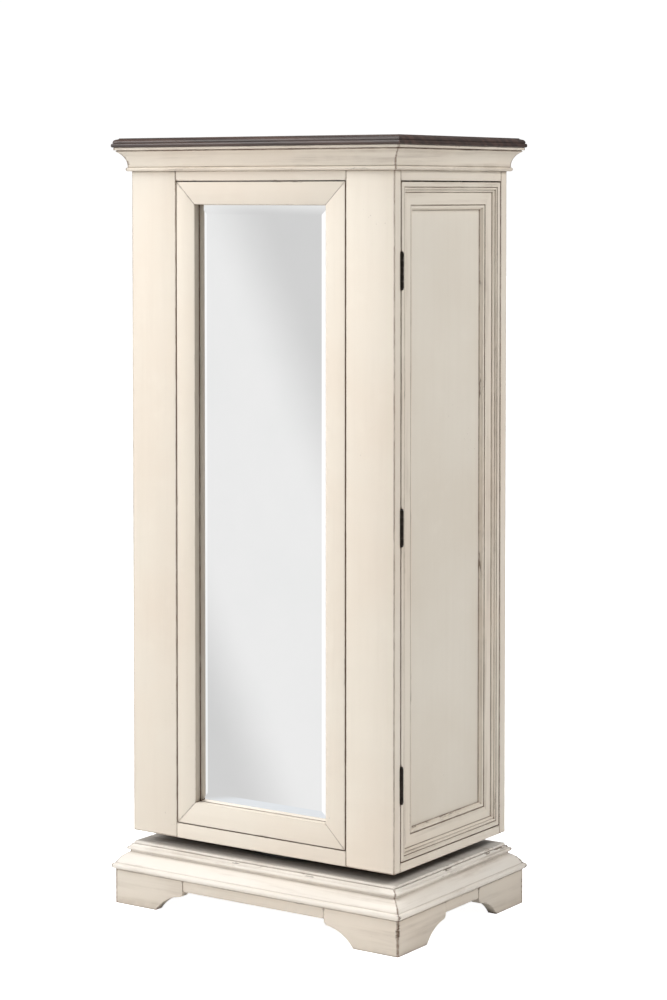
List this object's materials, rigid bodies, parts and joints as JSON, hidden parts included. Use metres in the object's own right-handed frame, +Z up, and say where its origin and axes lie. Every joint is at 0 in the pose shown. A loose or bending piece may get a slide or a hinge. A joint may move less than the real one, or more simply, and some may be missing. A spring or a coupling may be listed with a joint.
{
  "type": "jewelry armoire",
  "caption": "Tall painted jewelry armoire on a swivel base with bracket feet: bevelled mirror, stacked drawers and hinged side doors over necklace closets under a walnut top.",
  "frame": {"origin": "centre of the footprint, on the floor", "axes": "+Z up; the mirror face looks along -Y, the drawers open along +Y, the right side door faces +X"},
  "size_m": [0.6844, 0.4694, 1.524],
  "materials": {
    "cream_paint": "antique cream paint over wood, brown glaze in the joints, rubbed through on a few edges",
    "walnut": "dark walnut stain, satin lacquer",
    "maple": "clear satin lacquer",
    "black_board": "black stained board",
    "mirror": "silvered glass with a bevelled edge",
    "bronze": "oil-rubbed dark bronze",
    "brass": "satin brass",
    "zinc_steel": "zinc plated",
    "bearing_steel": "polished steel",
    "black_plastic": "moulded black plastic"
  },
  "bodies": {
    "base": {"foot_front_left": "cream_paint", "foot_front_right": "cream_paint", "foot_rear_left": "cream_paint", "foot_rear_right": "cream_paint", "apron_rails": "cream_paint", "base_board": "cream_paint", "base_moulding": "cream_paint", "turntable_lower": "zinc_steel"},
    "ball_ring": {"ball_cage": "brass", "bearing_balls": "bearing_steel"},
    "cabinet": {"turntable_upper": "zinc_steel", "swivel_disc": "black_board", "bottom_board": "cream_paint", "front_stiles": "cream_paint", "rear_stiles": "cream_paint", "front_rails": "cream_paint", "rear_rails": "cream_paint", "side_rails": "cream_paint", "partitions": "maple", "top_board": "cream_paint", "top_slab": "walnut", "crown_moulding": "cream_paint", "mirror_frame": "cream_paint", "mirror_glass": "mirror", "mirror_backing": "black_board", "drawer_runners": "maple", "hook_rails": "maple", "necklace_hooks": "brass", "latch_housings": "black_plastic", "cabinet_hinge_leaves": "bronze"},
    "right_door": {"right_door_frame": "cream_paint", "right_door_panel": "cream_paint", "right_door_hinge_leaves": "bronze"},
    "left_door": {"left_door_frame": "cream_paint", "left_door_panel": "cream_paint", "left_door_hinge_leaves": "bronze"},
    "right_latch": {"right_latch_plunger": "bearing_steel"},
    "left_latch": {"left_latch_plunger": "bearing_steel"},
    "drawer_1": {"drawer_1_front": "cream_paint", "drawer_1_tray": "maple", "drawer_1_knobs": "bronze"},
    "drawer_2": {"drawer_2_front": "cream_paint", "drawer_2_tray": "maple", "drawer_2_knobs": "bronze"},
    "drawer_3": {"drawer_3_front": "cream_paint", "drawer_3_tray": "maple", "drawer_3_knobs": "bronze"},
    "drawer_4": {"drawer_4_front": "cream_paint", "drawer_4_tray": "maple", "drawer_4_knobs": "bronze"},
    "drawer_5": {"drawer_5_front": "cream_paint", "drawer_5_tray": "maple", "drawer_5_knobs": "bronze"},
    "drawer_6": {"drawer_6_front": "cream_paint", "drawer_6_tray": "maple", "drawer_6_knobs": "bronze"},
    "drawer_7": {"drawer_7_front": "cream_paint", "drawer_7_tray": "maple", "drawer_7_knobs": "bronze"}
  },
  "joints": [
    {"name": "swivel", "type": "hinge", "parent": "base", "child": "cabinet", "pos_m": [0, 0, 0.13], "axis": [0, 0, 1], "continuous": true},
    {"name": "ball_ring_roll", "type": "hinge", "parent": "base", "child": "ball_ring", "pos_m": [0, 0, 0.13], "axis": [0, 0, 1], "continuous": true},
    {"name": "right_door_hinge", "type": "hinge", "parent": "cabinet", "child": "right_door", "pos_m": [0.3115, -0.17925, 0.8], "axis": [0, 0, -1], "range_deg": [0, 170]},
    {"name": "left_door_hinge", "type": "hinge", "parent": "cabinet", "child": "left_door", "pos_m": [-0.3115, -0.17925, 0.8], "axis": [0, 0, 1], "range_deg": [0, 170]},
    {"name": "right_touch_latch", "type": "slide", "parent": "cabinet", "child": "right_latch", "axis": [-1, 0, 0], "range_m": [0, 0.003], "stiffness_N_per_m": 300},
    {"name": "left_touch_latch", "type": "slide", "parent": "cabinet", "child": "left_latch", "axis": [1, 0, 0], "range_m": [0, 0.003], "stiffness_N_per_m": 300},
    {"name": "drawer_1_slide", "type": "slide", "parent": "cabinet", "child": "drawer_1", "axis": [0, 1, 0], "range_m": [0, 0.28]},
    {"name": "drawer_2_slide", "type": "slide", "parent": "cabinet", "child": "drawer_2", "axis": [0, 1, 0], "range_m": [0, 0.28]},
    {"name": "drawer_3_slide", "type": "slide", "parent": "cabinet", "child": "drawer_3", "axis": [0, 1, 0], "range_m": [0, 0.28]},
    {"name": "drawer_4_slide", "type": "slide", "parent": "cabinet", "child": "drawer_4", "axis": [0, 1, 0], "range_m": [0, 0.28]},
    {"name": "drawer_5_slide", "type": "slide", "parent": "cabinet", "child": "drawer_5", "axis": [0, 1, 0], "range_m": [0, 0.28]},
    {"name": "drawer_6_slide", "type": "slide", "parent": "cabinet", "child": "drawer_6", "axis": [0, 1, 0], "range_m": [0, 0.28]},
    {"name": "drawer_7_slide", "type": "slide", "parent": "cabinet", "child": "drawer_7", "axis": [0, 1, 0], "range_m": [0, 0.28]}
  ],
  "couplings": [
    {"joint": "ball_ring_roll", "follows": "swivel", "ratio": 0.5}
  ]
}
